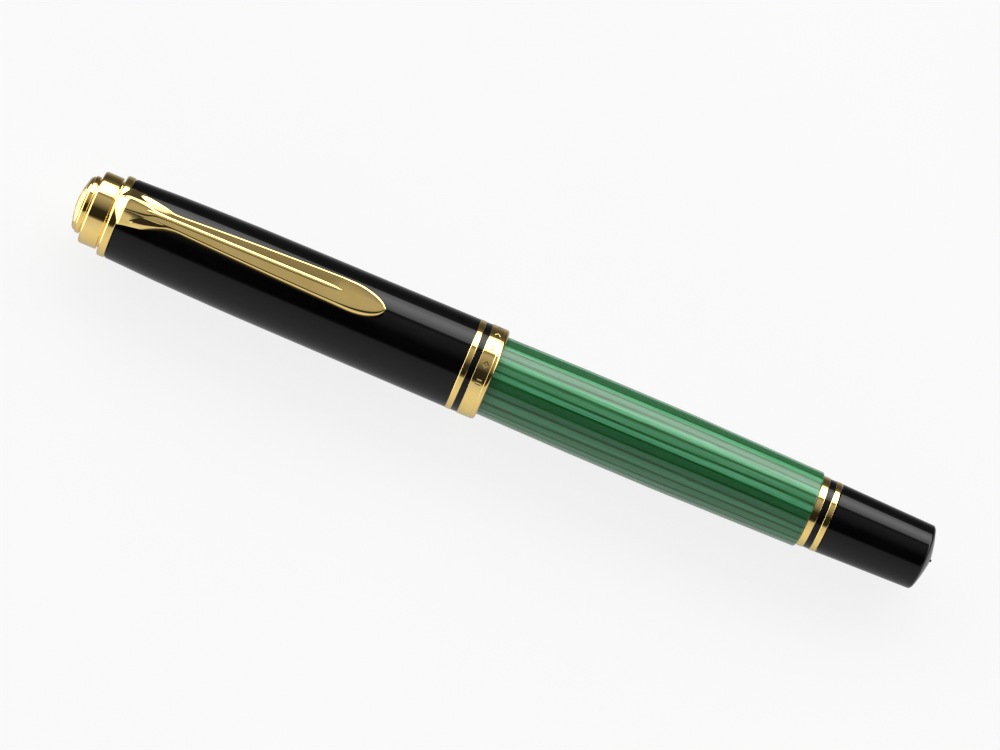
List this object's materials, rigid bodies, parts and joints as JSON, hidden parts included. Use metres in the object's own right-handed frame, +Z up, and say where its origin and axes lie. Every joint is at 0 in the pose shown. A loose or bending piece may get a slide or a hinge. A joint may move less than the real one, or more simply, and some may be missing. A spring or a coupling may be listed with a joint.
{
  "type": "fountain pen",
  "caption": "Capped piston-filler fountain pen: domed dark cap with gilt clip and rings, striped barrel, nib and feed, screw cap, turning filler knob.",
  "frame": {"origin": "under the middle of the capped pen's length, on the plane its widest ring touches, as it lies with its clip uppermost", "axes": "+X along the pen from the finial to the filler knob, +Z up through the clip, +Y across"},
  "size_m": [0.142, 0.0146, 0.0164],
  "materials": {
    "trim_gold": "polished gold plate",
    "medallion_gold": "polished gold plate",
    "nib_gold": "polished gold",
    "brass": "turned brass",
    "steel": "ground",
    "black_resin": "polished",
    "liner_resin": "moulded",
    "feed_resin": "satin",
    "striped_green": "polished striped resin",
    "clear_resin": "clear resin",
    "rod_resin": "moulded",
    "seal": "soft moulded"
  },
  "bodies": {
    "body": {"barrel_sleeve": "striped_green", "ink_tube": "clear_resin", "thread_collar": "black_resin", "grip_section": "black_resin", "section_ring": "trim_gold", "nib_collar": "black_resin", "feed": "feed_resin", "nib": "nib_gold", "nib_tip": "steel", "piston_guide": "brass", "tail_ring_front": "trim_gold", "tail_spacer": "black_resin", "tail_ring_rear": "trim_gold"},
    "cap_carriage": {"inner_cap": "liner_resin"},
    "cap": {"finial_disc": "medallion_gold", "finial_crown": "trim_gold", "finial_stud": "steel", "clip_ring": "trim_gold", "cap_tube": "black_resin", "cap_trim_ring": "trim_gold", "cap_spacer_ring": "black_resin", "cap_band": "trim_gold"},
    "clip": {"clip_arm": "trim_gold"},
    "knob_carriage": {"knob_stop_ring": "brass"},
    "knob": {"piston_knob": "black_resin", "knob_sleeve": "brass", "spindle": "brass"},
    "piston": {"piston_rod": "rod_resin", "piston_seal": "seal"}
  },
  "joints": [
    {"name": "cap_pull", "type": "slide", "parent": "body", "child": "cap_carriage", "axis": [-1, 0, 0], "range_m": [0, 0.0576]},
    {"name": "cap_twist", "type": "hinge", "parent": "cap_carriage", "child": "cap", "pos_m": [0, 0, 0.00735], "axis": [-1, 0, 0], "range_deg": [0, 3241]},
    {"name": "clip_flex", "type": "hinge", "parent": "cap", "child": "clip", "pos_m": [-0.0644, 0, 0.01425], "axis": [0, -1, 0], "range_deg": [0, 2.5], "stiffness_Nm_per_rad": 4.8, "springref_deg": -1.15},
    {"name": "knob_rise", "type": "slide", "parent": "body", "child": "knob_carriage", "axis": [1, 0, 0], "range_m": [0, 0.00455]},
    {"name": "knob_twist", "type": "hinge", "parent": "knob_carriage", "child": "knob", "pos_m": [0, 0, 0.00735], "axis": [1, 0, 0], "range_deg": [0, 1261]},
    {"name": "piston_travel", "type": "slide", "parent": "body", "child": "piston", "axis": [-1, 0, 0], "range_m": [0, 0.0236]}
  ],
  "couplings": [
    {"joint": "cap_twist", "follows": "cap_pull", "rad_per_m": 981.75},
    {"joint": "knob_twist", "follows": "knob_rise", "rad_per_m": 4833.2},
    {"joint": "piston_travel", "follows": "knob_rise", "ratio": 5.1648}
  ]
}
